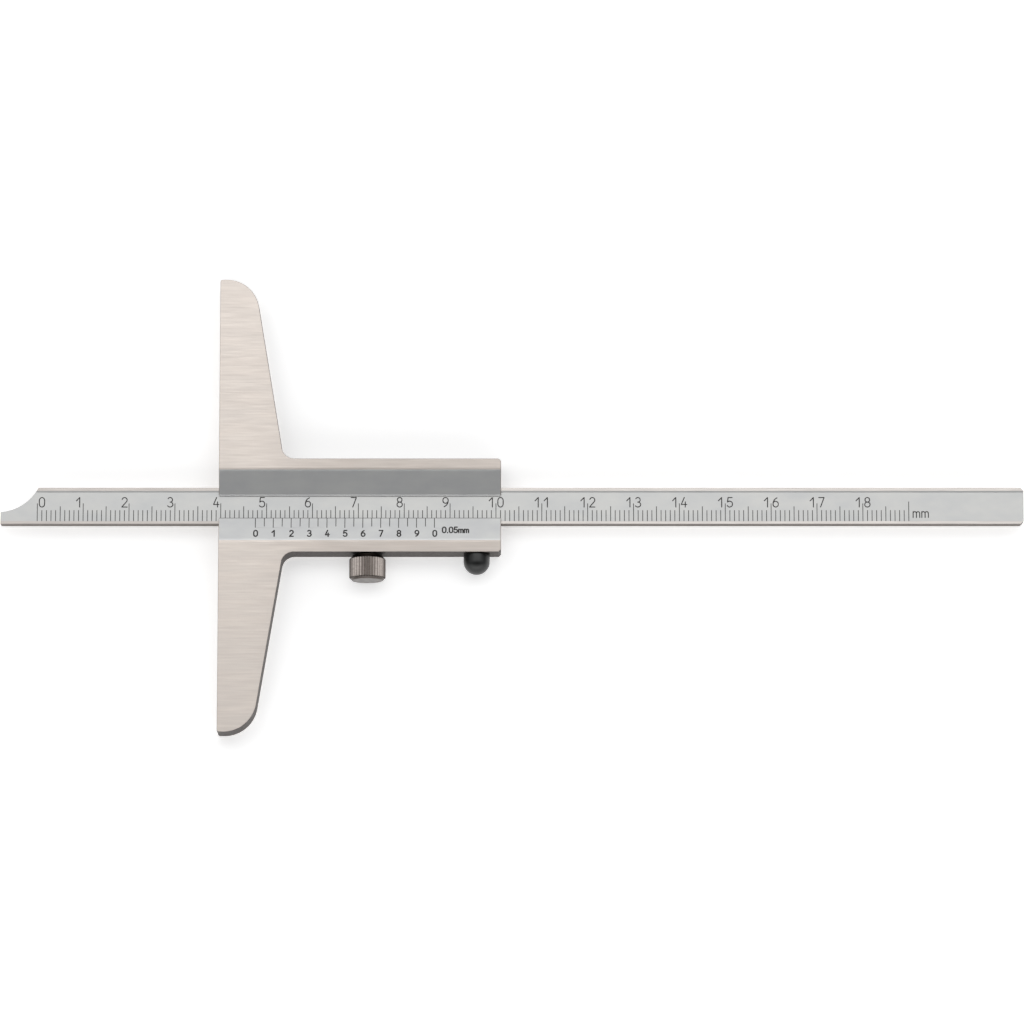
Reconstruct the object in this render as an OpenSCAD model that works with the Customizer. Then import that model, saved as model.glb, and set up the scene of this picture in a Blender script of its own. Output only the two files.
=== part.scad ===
// Vernier depth caliper with a one-piece slide: a measuring bridge and a guide body in one.
// A railed beam runs through the guide, and a knurled screw clamps it through a gib strip.
// X runs along the beam with its tip towards -X, Y runs along the bridge, Z points out of the scales.
// The origin is where the centre line of the beam crosses the measuring face of the bridge.

/* [Reading] */
// Greatest depth that the caliper measures
measuring_range = 150; // [100:10:300]
// Depth that it shows: how far the beam stands out of the measuring face
reading = 47.6; // [0:0.05:100]

/* [Bridge] */
// Length of the measuring face
bridge_length = 100; // [75:1:150]
// Width of an arm at its outer end
arm_end_width = 7.5; // [7.2:0.1:10]
// Width of an arm where it meets the guide body
arm_root_width = 14.1; // [12:0.1:20]
// Radius of the outer corner of an arm
arm_end_radius = 7.2; // [2:0.1:7.2]
// Radius of the corners at the ends of the measuring face
heel_radius = 0.5; // [0.2:0.1:1]
// Radius in the corner between an arm and the guide body
root_radius = 2.8; // [1:0.1:5]

/* [Guide body] */
// Length of the slide from the measuring face to its rear end
slide_length = 61.5; // [60:0.5:90]
// Thickness of the bridge and of the guide body
slide_thickness = 7; // [6:0.1:9]
// Height of the guide body above the beam's centre line
body_above = 10.15; // [9:0.05:14]
// Height of the guide body below the beam's centre line
body_below = 10.5; // [9.5:0.05:14]
// Chamfer on the rear corners
rear_chamfer = 0.5; // [0.2:0.1:1.5]

/* [Window] */
// Edge of the plain lip, above the centre line
window_above = 2.2; // [1.5:0.05:2.8]
// Edge of the vernier lip, below the centre line
window_below = 2.75; // [1.5:0.05:3]
// Thickness of both lips at their edges
lip_thickness = 0.3; // [0.2:0.05:0.6]
// Width of the flat along the edge of the plain lip
lip_land = 0.15; // [0.1:0.05:1]
// Where the slope of the plain lip meets the front face, above the centre line
slope_above = 7.7; // [6:0.1:8.5]
// Where the slope of the vernier lip meets the front face, below the centre line
slope_below = 7.9; // [6:0.1:9]

/* [Beam] */
// Width of the beam
beam_width = 8; // [6.4:0.1:9.5]
// Thickness of the beam
beam_thickness = 3.2; // [2.5:0.1:4]
// Length of the beam behind the last graduation
beam_tail = 25; // [10:1:40]
// Width of the rail along the upper edge
rail_above = 0.7; // [0.4:0.05:1]
// Width of the rail along the lower edge
rail_below = 0.6; // [0.4:0.05:1]
// Depth of the scale face below the rails
scale_sink = 0.15; // [0.05:0.01:0.3]
// Width of the bevel between the upper rail and the scale face
rail_bevel = 0.35; // [0.1:0.05:0.6]
// Chamfer on the rear corners of the beam
tail_chamfer = 0.6; // [0.2:0.1:1.5]

/* [Beam tip] */
// Height of the measuring tip
tip_height = 2.65; // [1.5:0.05:4]
// Distance from the tip to where the relief runs out at the upper edge
relief_length = 8.2; // [6:0.1:10]
// Radius of the cutter that makes the relief
relief_radius = 10; // [8:0.5:20]

/* [Scales] */
// Distance from the tip to the zero of the beam, and from the measuring face to that of the vernier
zero_offset = 8; // [6:0.5:10]
// Distance between two lines of the beam's scale
division = 1; // [0.5:0.5:1]
// Number of divisions on the vernier: with 20 it reads a twentieth of the beam's division
vernier_divisions = 20; // [10:10:20]
// Width of a graduation line
line_width = 0.16; // [0.1:0.01:0.25]
// Depth of the engraving that holds a line's black filling
line_depth = 0.06; // [0.03:0.01:0.12]
// Length of a plain line
line_1 = 2.45; // [1.5:0.05:2.8]
// Length of every fifth line
line_5 = 3.3; // [2:0.05:3.8]
// Length of every tenth line, which carries a number
line_10 = 3.95; // [2.5:0.05:4.2]
// Length of the line that ends the scale
line_end = 4.35; // [2.5:0.05:4.6]
// Length of a numbered vernier line
vernier_line = 2.4; // [1.5:0.05:3]
// Length of a vernier line between two numbers
vernier_half_line = 2.1; // [1:0.05:2.8]

/* [Gib strip] */
// Thickness of the gib strip
gib_thickness = 1; // [0.8:0.05:1.4]
// How far the ends of the gib strip sit back inside the slide
gib_setback = 0.5; // [0.2:0.1:2]
// Depth of the dimple that the screw's point sits in
dimple_depth = 0.4; // [0.2:0.05:0.6]

/* [Clamp screw] */
// Distance from the measuring face to the screw's axis
clamp_x = 32.4; // [20:0.1:45]
// Diameter of the thread
thread_d = 3; // [2.5:0.1:4]
// Pitch of the thread
thread_pitch = 0.5; // [0.4:0.05:0.7]
// Turn that frees the beam, in degrees
release_turn = 180; // [90:10:240]
// Diameter of the screw's point
point_d = 2; // [1.4:0.1:2.4]
// Diameter of the collar under the head
collar_d = 6.6; // [5:0.1:7]
// Length of the collar under the head
collar_l = 0.25; // [0.2:0.05:1.5]
// Outer diameter of the knurled head
head_d = 7.9; // [7.2:0.1:10]
// Length of the knurled head
head_l = 5.3; // [3:0.05:8]
// Bevel at the inner end of the head
head_bevel_in = 0.65; // [0.2:0.05:0.8]
// Bevel at the outer end of the head
head_bevel_out = 0.6; // [0.2:0.05:0.8]
// Number of teeth of the straight knurl
knurl_teeth = 38; // [24:1:60]
// Depth of the knurl
knurl_depth = 0.2; // [0.1:0.01:0.3]

/* [Thumb rest] */
// Distance from the rear end of the slide to the thumb rest's axis
rest_from_end = 5.3; // [4:0.1:9]
// Diameter of the thumb rest
rest_d = 5.7; // [4:0.1:7]
// Length of the straight part below the dome
rest_straight = 1.65; // [0.5:0.05:4]
// Diameter of the stem
stem_d = 2.5; // [1.5:0.1:3]
// Length of the stem
stem_l = 3; // [1.5:0.1:3.8]

/* [Fits] */
// Gap on each side of the beam and the gib strip in the guide
guide_gap = 0.03; // [0.02:0.01:0.06]
// Gap all round the screw in its hole
thread_gap = 0.04; // [0.02:0.01:0.08]
// Gap all round the thumb rest's stem and the screw's point
stem_gap = 0.02; // [0.01:0.01:0.05]
// Gap between the clamped screw's collar and the slide
collar_gap = 0.25; // [0.1:0.05:0.5]
// Gap between the screw's shoulder and the gib strip
shoulder_gap = 0.1; // [0.05:0.01:0.15]

/* [Hidden] */
$fn = 96;

over = 1;                                        // how far a cutter runs past what it cuts
hair = 0.01;                                     // how far a rounding crosses the sides it meets
front = slide_thickness / 2;
half_width = beam_width / 2;
half_height = beam_thickness / 2;
guide_half_height = half_height + guide_gap;
lip_top = guide_half_height + lip_thickness;

release = thread_pitch * release_turn / 360;     // how far the screw backs off
gib_back = half_width + gib_thickness;
pocket_floor = gib_back + release + guide_gap;
gib_length = slide_length - 2 * gib_setback;

vernier_pitch = 2 * division - division / vernier_divisions;
vernier_span = vernier_divisions * vernier_pitch;
vernier_angle = atan2(front - lip_top, slope_below - window_below);

numbered = 10;                                   // a number stands at every tenth line
spare_lines = numbered * ceil(vernier_span / division / numbered);
last_line = round(measuring_range / division) + spare_lines;
scale_length = last_line * division;
beam_length = zero_offset + scale_length + beam_tail;
scale_face = half_height - scale_sink;
scale_foot = rail_below - half_width;

rest_x = slide_length - rest_from_end;
steel = [0.80, 0.78, 0.76];
chrome = [0.78, 0.79, 0.80];

function unit(v) = v / norm(v);

// Centre of the arc of radius r from point a to point b that bulges to the right of its path
function arc_centre(a, b, r) =
    let (chord = b - a)
    (a + b) / 2 + unit([-chord.y, chord.x]) * sqrt(r * r - chord * chord / 4);

// Length of the beam's line number i
function beam_line(i) =
    i == last_line ? line_end :
    i % numbered == 0 ? line_10 :
    i % 5 == 0 ? line_5 : line_1;

// Length of the vernier's line number i
function vernier_line_length(i) = i % 2 == 0 ? vernier_line : vernier_half_line;

// Centre of the arc of radius r that touches both sides of a corner, and how far from the corner
// it touches them. The unit vectors a and b point along the sides, away from the corner.
function corner_centre(corner, a, b, r) = corner + unit(a + b) * r / sin(acos(a * b) / 2);
function corner_reach(a, b, r) = r / tan(acos(a * b) / 2);

function reversed(list) = [for (i = [len(list) - 1 : -1 : 0]) list[i]];

// What a rounding of radius r takes off an outer corner
module corner_waste(corner, a, b, r) {
    reach = corner_reach(a, b, r);
    centre = corner_centre(corner, a, b, r);
    difference() {
        polygon([corner - unit(a + b) * over, corner + a * reach, centre, corner + b * reach]);
        translate(centre) circle(r + hair);
    }
}

// Runs a profile drawn in Y and Z along X
module along_x(x, length) {
    translate([x, 0, 0]) rotate([90, 0, 90]) linear_extrude(length) children();
}

// Points what is drawn along Z out of the lower side of the guide, from the beam's centre line
module out_below(x) {
    translate([x, 0, 0]) rotate([90, 0, 0]) children();
}

// Stands on the slope of the vernier lip: Y falls along the slope from its edge, Z is its normal
module on_vernier_slope() {
    translate([0, -window_below, lip_top]) rotate([-vernier_angle, 0, 0]) children();
}

// Outer end and root of the slanted side of an arm: side is 1 for the upper arm, -1 for the lower
function arm_end(side) = [arm_end_width, side * bridge_length / 2];
function arm_root(side) = [arm_root_width, side > 0 ? body_above : -body_below];
function arm_slant(side) = unit(arm_end(side) - arm_root(side));
function root_centre(side) = corner_centre(arm_root(side), arm_slant(side), [1, 0], root_radius);

// Half of the slide's outline, from the end of an arm to the rear of the guide body.
// At the root it takes in the centre of the fillet, which is then cut round.
function half_outline(side) =
    let (
        root = arm_root(side),
        reach = corner_reach(arm_slant(side), [1, 0], root_radius)
    )
    [
        [0, side * bridge_length / 2], arm_end(side),
        root + arm_slant(side) * reach, root_centre(side), root + [reach, 0],
        [slide_length - rear_chamfer, root.y], [slide_length, root.y - side * rear_chamfer]
    ];

// Outline of the slide seen from the front
module slide_outline() {
    difference() {
        polygon(concat(half_outline(1), reversed(half_outline(-1))));
        for (side = [1, -1]) {
            translate(root_centre(side)) circle(root_radius + hair);
            corner_waste(arm_end(side), [-1, 0], -arm_slant(side), arm_end_radius);
            corner_waste([0, side * bridge_length / 2], [1, 0], [0, -side], heel_radius);
        }
    }
}

// What is cut away along the slide: guide for beam and gib, window, and the slopes of both lips
module guide_profile() {
    guide_top = half_width + guide_gap;
    polygon([
        [-pocket_floor, -guide_half_height], [guide_top, -guide_half_height],
        [guide_top, guide_half_height], [window_above, guide_half_height],
        [window_above, lip_top], [window_above + lip_land, lip_top],
        [slope_above, front], [slope_above, front + over],
        [-slope_below, front + over], [-slope_below, front],
        [-window_below, lip_top], [-window_below, guide_half_height],
        [-pocket_floor, guide_half_height]
    ]);
}

// The vernier's lines: grooves when they rise above the slope, fillings when they don't
module vernier_lines(rise) {
    on_vernier_slope()
        for (i = [0 : vernier_divisions]) {
            length = vernier_line_length(i);
            translate([zero_offset + i * vernier_pitch - line_width / 2, -length, -line_depth])
                cube([line_width, length + over, line_depth + rise]);
        }
}

module slide() {
    color(steel)
    difference() {
        translate([0, 0, -front]) linear_extrude(slide_thickness) slide_outline();
        along_x(-over, slide_length + 2 * over) guide_profile();
        out_below(clamp_x)
            translate([0, 0, pocket_floor - over])
                cylinder(h = body_below - pocket_floor + 2 * over, d = thread_d + 2 * thread_gap);
        out_below(rest_x)
            translate([0, 0, body_below - stem_l - stem_gap])
                cylinder(h = stem_l + stem_gap + over, d = stem_d + 2 * stem_gap);
        vernier_lines(over);
    }
}

// Section of the beam: rails along both edges of a sunk scale face
module beam_profile() {
    polygon([
        [-half_width, -half_height], [half_width, -half_height],
        [half_width, half_height], [half_width - rail_above, half_height],
        [half_width - rail_above - rail_bevel, scale_face], [scale_foot, scale_face],
        [scale_foot, half_height], [-half_width, half_height]
    ]);
}

// Outline of the beam from its tip at x = 0: relieved tip, chamfered rear corners
module beam_outline() {
    tip = [0, tip_height - half_width];
    run_out = [relief_length, half_width];
    difference() {
        translate([0, -half_width]) square([beam_length, beam_width]);
        translate(arc_centre(tip, run_out, relief_radius)) circle(relief_radius);
        for (side = [-1, 1])
            polygon([
                [beam_length - tail_chamfer, side * (half_width + over)],
                [beam_length - tail_chamfer, side * half_width],
                [beam_length, side * (half_width - tail_chamfer)],
                [beam_length + over, side * (half_width - tail_chamfer)],
                [beam_length + over, side * (half_width + over)]
            ]);
    }
}

// The beam's lines, drawn from its tip: grooves when they rise above the face, fillings when not
module beam_lines(rise) {
    for (i = [0 : last_line])
        translate([zero_offset + i * division - line_width / 2, scale_foot, scale_face - line_depth])
            cube([line_width, beam_line(i), line_depth + rise]);
}

module beam() {
    color(chrome)
    translate([-reading, 0, 0])
        difference() {
            intersection() {
                along_x(0, beam_length) beam_profile();
                translate([0, 0, -beam_thickness]) linear_extrude(2 * beam_thickness) beam_outline();
            }
            beam_lines(over);
        }
}

module beam_scale() {
    color("black")
    translate([-reading, 0, 0]) beam_lines(0);
}

module vernier_scale() {
    color("black")
    intersection() {
        vernier_lines(0);
        translate([0, -window_below - 2 * vernier_line, 0]) cube([slide_length, 2 * vernier_line, slide_thickness]);
    }
}

// Brass strip between the lower edge of the beam and the clamp screw
module gib_strip() {
    color("goldenrod")
    difference() {
        translate([gib_setback, -gib_back, -half_height]) cube([gib_length, gib_thickness, beam_thickness]);
        out_below(clamp_x)
            translate([0, 0, gib_back - dimple_depth])
                cylinder(h = dimple_depth + over, d = point_d + 2 * stem_gap);
    }
}

// Knurled head, drawn along Z from its inner end: teeth cut off by a bevel at each end
module knurled_head() {
    head_r = head_d / 2;
    intersection() {
        linear_extrude(head_l)
            polygon([
                for (i = [0 : 2 * knurl_teeth - 1])
                    let (r = i % 2 == 0 ? head_r : head_r - knurl_depth, turn = i * 180 / knurl_teeth)
                    [r * cos(turn), r * sin(turn)]
            ]);
        rotate_extrude()
            polygon([
                [0, 0], [head_r - head_bevel_in, 0], [head_r + over, head_bevel_in + over],
                [head_r + over, head_l - head_bevel_out - over], [head_r - head_bevel_out, head_l],
                [0, head_l]
            ]);
    }
}

module clamp_screw() {
    point = gib_back - dimple_depth;
    shoulder = gib_back + shoulder_gap;
    collar = body_below + collar_gap;
    head = collar + collar_l;
    color("dimgray")
    out_below(clamp_x) {
        rotate_extrude()
            polygon([
                [0, point], [point_d / 2, point], [point_d / 2, shoulder],
                [thread_d / 2, shoulder], [thread_d / 2, collar],
                [collar_d / 2, collar], [collar_d / 2, head], [thread_d / 2, head],
                [thread_d / 2, head + over], [0, head + over]
            ]);
        translate([0, 0, head]) knurled_head();
    }
}

// Glossy black button with a domed end, pushed into the lower side of the slide
module thumb_rest() {
    rest_r = rest_d / 2;
    color([0.08, 0.08, 0.08])
    out_below(rest_x) {
        translate([0, 0, body_below - stem_l]) cylinder(h = stem_l, d = stem_d);
        translate([0, 0, body_below]) cylinder(h = rest_straight, r = rest_r);
        translate([0, 0, body_below + rest_straight])
            rotate_extrude()
                intersection() {
                    circle(rest_r);
                    square(rest_r);
                }
    }
}

slide();
beam();
gib_strip();
clamp_screw();
thumb_rest();
beam_scale();
vernier_scale();
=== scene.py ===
# %% [markdown]
# Depth caliper: dressing a vernier measuring tool.
# The solids come packed in one frame, in metres, with the caliper lying on its back.
# This lesson gives them the finish of the real tool: ground stainless steel, a satin chromed scale,
# black filled numbers, a knurled screw and a moulded black button.
# Steel is nearly all that the eye sees here, so the shape of the light matters as much as the shader.

# %% Load the solids
import math

import bmesh
import bpy
from mathutils import Matrix, Vector


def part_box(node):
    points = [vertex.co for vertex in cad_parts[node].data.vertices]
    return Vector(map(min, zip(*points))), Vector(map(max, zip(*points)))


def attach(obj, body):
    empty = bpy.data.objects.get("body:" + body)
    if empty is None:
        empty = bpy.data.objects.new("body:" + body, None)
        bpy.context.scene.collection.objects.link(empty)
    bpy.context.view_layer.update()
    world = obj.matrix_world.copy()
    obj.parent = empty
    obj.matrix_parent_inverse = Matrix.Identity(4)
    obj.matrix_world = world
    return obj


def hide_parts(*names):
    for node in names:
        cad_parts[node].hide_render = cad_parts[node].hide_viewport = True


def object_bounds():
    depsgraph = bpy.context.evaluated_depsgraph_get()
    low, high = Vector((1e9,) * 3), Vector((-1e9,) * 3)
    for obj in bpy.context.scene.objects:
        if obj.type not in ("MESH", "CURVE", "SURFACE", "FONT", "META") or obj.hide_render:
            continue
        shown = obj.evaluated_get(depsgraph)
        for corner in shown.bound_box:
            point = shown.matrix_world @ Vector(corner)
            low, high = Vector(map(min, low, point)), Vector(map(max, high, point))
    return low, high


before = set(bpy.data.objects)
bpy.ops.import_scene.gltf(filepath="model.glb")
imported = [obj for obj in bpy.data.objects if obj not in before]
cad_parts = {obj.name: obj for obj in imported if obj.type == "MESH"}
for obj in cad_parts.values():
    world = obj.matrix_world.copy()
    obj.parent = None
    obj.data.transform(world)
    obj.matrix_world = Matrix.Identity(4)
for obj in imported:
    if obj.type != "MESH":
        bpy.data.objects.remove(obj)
cad_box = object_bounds()
print("nodes:", sorted(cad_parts))
print("box in mm:", [[round(1000 * value, 2) for value in corner] for corner in cad_box])

# %% [markdown]
# Sizes in this file are real millimetres, turned to metres by one factor.
# Places come from the boxes of the solids, so nothing here repeats a position of the model.

# %% Units and boxes
MM = 0.001


def box_mm(node):
    """Lowest and highest corner of a solid, in millimetres."""
    low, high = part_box(node)
    return low / MM, high / MM


slide_low, slide_high = box_mm("slide")
beam_low, beam_high = box_mm("beam")
scale_low, scale_high = box_mm("beam_scale")
vernier_low, vernier_high = box_mm("vernier_scale")
print("slide in mm:", slide_low, slide_high)
print("beam in mm:", beam_low, beam_high)

# %% [markdown]
# A material or a geometry tree is a network of nodes. One helper adds a node, sets its properties
# and fills its inputs with values or with the outputs of other nodes. Colours are written as the
# sRGB hex values of a paint program, and one function turns them to linear light.

# %% Helpers for colours and nodes


def colour(hex_value):
    """Linear RGBA of an sRGB hex value such as "#C8C0B8"."""
    channels = [int(hex_value[i:i + 2], 16) / 255 for i in (1, 3, 5)]
    linear = [c / 12.92 if c <= 0.04045 else ((c + 0.055) / 1.055) ** 2.4 for c in channels]
    return (*linear, 1.0)


def fill(tree, node, inputs):
    """Fills the inputs of a node, by name or in order, from values, nodes or sockets."""
    sockets = [socket for socket in node.inputs if socket.enabled]
    for key, value in inputs.items() if isinstance(inputs, dict) else enumerate(inputs):
        socket = sockets[key] if isinstance(key, int) else next(s for s in sockets if s.name == key)
        if isinstance(value, bpy.types.Node):
            value = next(output for output in value.outputs if output.enabled)
        if isinstance(value, bpy.types.NodeSocket):
            tree.links.new(value, socket)
        else:
            socket.default_value = value


def add_node(tree, kind, inputs=(), **settings):
    """Adds a node to a tree with its properties and its inputs."""
    node = tree.nodes.new(kind)
    for name, value in settings.items():
        setattr(node, name, value)
    fill(tree, node, inputs)
    return node


print("white is", colour("#FFFFFF"))

# %% [markdown]
# The camera stands where the photographer's did: almost straight above the caliper, ten degrees
# towards its lower side, with a long lens, so that the lower side faces just show.
# The whole beam fills the width of the frame.

# %% Camera
CAMERA_ELEVATION = math.radians(80)
CAMERA_DISTANCE = 1330 * MM
SENSOR_WIDTH = 36
SIDE_MARGIN, BEAM_ABOVE_CENTRE = 0.25, 1.1

frame_width = beam_high.x - beam_low.x + 2 * SIDE_MARGIN
target = Vector(((beam_low.x + beam_high.x) / 2, -BEAM_ABOVE_CENTRE, 0)) * MM
towards_camera = Vector((0, -math.cos(CAMERA_ELEVATION), math.sin(CAMERA_ELEVATION)))
camera_data = bpy.data.cameras.new("camera")
camera_data.sensor_width = SENSOR_WIDTH
camera_data.lens = SENSOR_WIDTH * CAMERA_DISTANCE / (frame_width * MM)
camera = bpy.data.objects.new("camera", camera_data)
camera.location = target + towards_camera * CAMERA_DISTANCE
camera.rotation_euler = (math.radians(90) - CAMERA_ELEVATION, 0, 0)
bpy.context.scene.collection.objects.link(camera)
bpy.context.scene.camera = camera
print("lens in mm:", round(camera_data.lens, 1))

# %% [markdown]
# Polished and ground metal shows what stands round it, so it is lit by shaping the room.
# Here the room is a white tent: the world gives each direction a brightness. The angle that counts is
# the lean from straight up towards the caliper's upper side. The flat faces mirror the tent ten
# degrees that way, where it is bright. The slope that leans to the camera mirrors it at minus
# twenty-three degrees, where the tent has its dark slot for the camera, so the same plate looks dark
# grey there. The vernier's slope leans the other way and mirrors the dimmer band past forty degrees.
# Below the slot the wall is lit again: it draws a thin light line along the lower edges and the
# second highlight in the black button. The tent's left and right walls are darker, and each
# tooth of the knurl mirrors them with its flanks, so the knurled head looks darker than flat steel.

# %% Tent
TENT_LEAN = [
    (-90, 0.5), (-72, 1.8), (-51, 1.5), (-39, 0.55), (-30, 0.0), (-12, 0.0), (-2, 0.85),
    (30, 0.82), (45, 0.40), (60, 1.25), (90, 1.5),
]
TENT_SIDE = [(0.0, 1.0), (0.5, 1.0), (0.85, 0.75), (0.95, 0.3), (1.0, 0.3)]

world = bpy.data.worlds.new("tent")
bpy.context.scene.world = world
world.use_nodes = True
tent = world.node_tree
facing = add_node(tent, "ShaderNodeTexCoord").outputs["Generated"]
direction = add_node(tent, "ShaderNodeSeparateXYZ", [facing]).outputs
lean = add_node(tent, "ShaderNodeMath", [direction["Y"], direction["Z"]], operation="ARCTAN2")
lean_degrees = add_node(tent, "ShaderNodeMath", [lean], operation="DEGREES")
sideways = add_node(tent, "ShaderNodeMath", [direction["X"]], operation="ABSOLUTE")
ramps = []
for value, steps in ((lean_degrees, TENT_LEAN), (sideways, TENT_SIDE)):
    first, last = steps[0][0], steps[-1][0]
    share = add_node(tent, "ShaderNodeMapRange", {"Value": value, "From Min": first, "From Max": last})
    ramps.append(add_node(tent, "ShaderNodeValToRGB", [share]))
    stops = ramps[-1].color_ramp.elements
    while len(stops) < len(steps):
        stops.new(1.0)
    for stop, (place, glow) in zip(stops, steps):
        stop.position = (place - first) / (last - first)
        stop.color = (glow, glow, glow, 1)
strength = add_node(tent, "ShaderNodeMath", ramps, operation="MULTIPLY")
fill(tent, tent.nodes["Background"], {"Strength": strength, "Color": colour("#FFFFFF")})
print("tent by lean:", TENT_LEAN, "by side:", TENT_SIDE)

# %% [markdown]
# The tent alone is endlessly far away, so it would light all of the caliper alike. A soft box hangs
# close above the upper side as well. A flat face mirrors more of it the nearer the face is to it,
# which gives the long steel its slow fall from bright to grey.

# %% Soft box
BOX_SIZE = (0.8, 0.26)
BOX_CENTRE = (0.12, 0.22, 0.60)
BOX_GLOW = 1.0


def soft_box(name, size, centre, glow):
    """A rectangular lamp of size (width, depth), facing down, that glows evenly."""
    lamp = bpy.data.lights.new(name, "AREA")
    lamp.shape = "RECTANGLE"
    lamp.size, lamp.size_y = size
    lamp.energy = glow * math.pi * size[0] * size[1]
    piece = bpy.data.objects.new(name, lamp)
    piece.location = centre
    piece.visible_camera = False
    bpy.context.scene.collection.objects.link(piece)


soft_box("soft_box", BOX_SIZE, BOX_CENTRE, BOX_GLOW)

# %% [markdown]
# The floor is a sheet of white card. It is a diffuse surface that keeps the caliper's shadow. A
# little glow of its own, for what looks at it straight or in a mirror, lifts it to white.

# %% Floor
FLOOR_GAP = 0.02
FLOOR_SIDE = 8.0
FLOOR_GLOW = 0.42

card = bpy.data.materials.new("matt_white_card")
card.use_nodes = True
card_tree = card.node_tree
ray = add_node(card_tree, "ShaderNodeLightPath").outputs
mirrored = add_node(
    card_tree, "ShaderNodeMath", [ray["Is Glossy Ray"], ray["Is Transmission Ray"]], operation="MAXIMUM",
)
looked_at = add_node(card_tree, "ShaderNodeMath", [ray["Is Camera Ray"], mirrored], operation="MAXIMUM")
card_glow = add_node(card_tree, "ShaderNodeMath", [looked_at, FLOOR_GLOW], operation="MULTIPLY")
fill(card_tree, card_tree.nodes["Principled BSDF"], {
    "Base Color": colour("#F8F8F8"), "Roughness": 1.0, "Specular IOR Level": 0.0,
    "Emission Color": colour("#FFFFFF"), "Emission Strength": card_glow,
})

floor_z = cad_box[0][2] - FLOOR_GAP * MM
half = FLOOR_SIDE / 2
around = ((-half, -half), (half, -half), (half, half), (-half, half))
floor_mesh = bpy.data.meshes.new("floor")
floor_mesh.from_pydata([(x, y, floor_z) for x, y in around], [], [(0, 1, 2, 3)])
floor_mesh.materials.append(card)
floor = bpy.data.objects.new("floor", floor_mesh)
bpy.context.scene.collection.objects.link(floor)
print("floor at", round(floor_z / MM, 2), "mm")

# %% [markdown]
# All patterns in the materials come from noise with a real size along each axis of the object.
# A scratch is noise that is long in one direction and thin in the others. The helper below spreads
# the noise, which stays mostly between 0.3 and 0.7, over the range that a shader input needs.

# %% Helpers for patterns and materials
NOISE_LOW, NOISE_HIGH, NOISE_DETAIL = 0.3, 0.7, 3.0


def mottle(tree, size_mm, low, high):
    """Noise of size_mm along X, Y and Z of the object, spread from low to high."""
    where = add_node(tree, "ShaderNodeTexCoord").outputs["Object"]
    scale = [1 / (MM * size) for size in size_mm]
    scaled = add_node(tree, "ShaderNodeMapping", {"Vector": where, "Scale": scale})
    clouds = add_node(tree, "ShaderNodeTexNoise", {
        "Vector": scaled, "Scale": 1.0, "Detail": NOISE_DETAIL,
    })
    return add_node(tree, "ShaderNodeMapRange", {
        "Value": clouds, "From Min": NOISE_LOW, "From Max": NOISE_HIGH, "To Min": low, "To Max": high,
    })


def new_material(name, shader_inputs):
    """A material whose Principled shader gets the inputs that shader_inputs(tree) returns."""
    material = bpy.data.materials.new(name)
    material.use_nodes = True
    tree = material.node_tree
    fill(tree, tree.nodes["Principled BSDF"], shader_inputs(tree))
    return material


print("noise between", NOISE_LOW, "and", NOISE_HIGH, "is spread over each input's range")

# %% [markdown]
# Ground stainless steel. The bridge and the guide are surface ground along the beam, which leaves
# fine parallel scratches. They smear a reflection across the grain and hardly along it.
# To the eye the steel is a warm pale grey with soft long streaks, a little brighter or duller in
# turn, and never a mirror. The true scratches are a few hundredths of a millimetre apart, too fine
# for the render, so the streaks are drawn half a millimetre wide. The two tones below are painted
# light along X: the slide's bridge is painted brighter than the guide behind it, and the two fade
# into each other. The beam is cooler and has them the other way round, with painted shade on the
# duller tone in front. The tones are matched by measure.
# Their cause can only be guessed: a bridge dressed once more on its own, and a beam dulled by the
# bores that it goes into.

# %% Ground stainless steel
ACROSS_GRAIN = (0.0, 0.8, 0.6)
STREAK, PATCH = (9.0, 0.45, 0.45), (14.0, 3.0, 3.0)
SCRATCH, FURROW = (5.0, 0.15, 0.15), (6.0, 0.3, 0.3)
BRIDGE_END, GUIDE_START = 6.0, 30.0
# Tone pairs of painted light: the slide's bridge is painted brighter, and the beam's front darker.
BRIDGE_LIT_TONES, GUIDE_SHADED_TONES = ("#D8CFC7", "#CCC3BC"), ("#C3BAB3", "#B7AFA8")
BEAM_FRONT_SHADED_TONES, BEAM_REAR_LIT_TONES = ("#CAC4BF", "#BDB7B3"), ("#DBD6D1", "#CEC9C5")


def ground_stainless(start_tones, end_tones):
    """Shader inputs of ground steel with (bright, dull) tones before and after the guide starts."""
    def shader_inputs(tree):
        streaks = mottle(tree, STREAK, 0.0, 1.0)
        where = add_node(tree, "ShaderNodeTexCoord").outputs["Object"]
        along = add_node(tree, "ShaderNodeSeparateXYZ", [where]).outputs["X"]
        on_guide = add_node(tree, "ShaderNodeMapRange", {
            "Value": along, "From Min": BRIDGE_END * MM, "From Max": GUIDE_START * MM,
        }, interpolation_type="SMOOTHSTEP")
        start, end = (
            add_node(tree, "ShaderNodeMix", {
                "Factor": streaks, "A": colour(bright), "B": colour(dull),
            }, data_type="RGBA")
            for bright, dull in (start_tones, end_tones)
        )
        toned = add_node(tree, "ShaderNodeMix", {
            "Factor": on_guide, "A": start, "B": end,
        }, data_type="RGBA")
        return {
            "Base Color": add_node(tree, "ShaderNodeMix", {
                "Factor": mottle(tree, PATCH, 0.0, 0.3), "A": toned, "B": colour("#C4BFBA"),
            }, data_type="RGBA"),
            "Metallic": 1.0,
            "Roughness": mottle(tree, SCRATCH, 0.30, 0.40),
            "Anisotropic": 0.5,
            "Tangent": add_node(tree, "ShaderNodeCombineXYZ", ACROSS_GRAIN),
            "Normal": add_node(tree, "ShaderNodeBump", {
                "Strength": 0.35, "Distance": 0.01 * MM, "Height": mottle(tree, FURROW, 0.0, 1.0),
            }),
        }
    return shader_inputs


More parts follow.
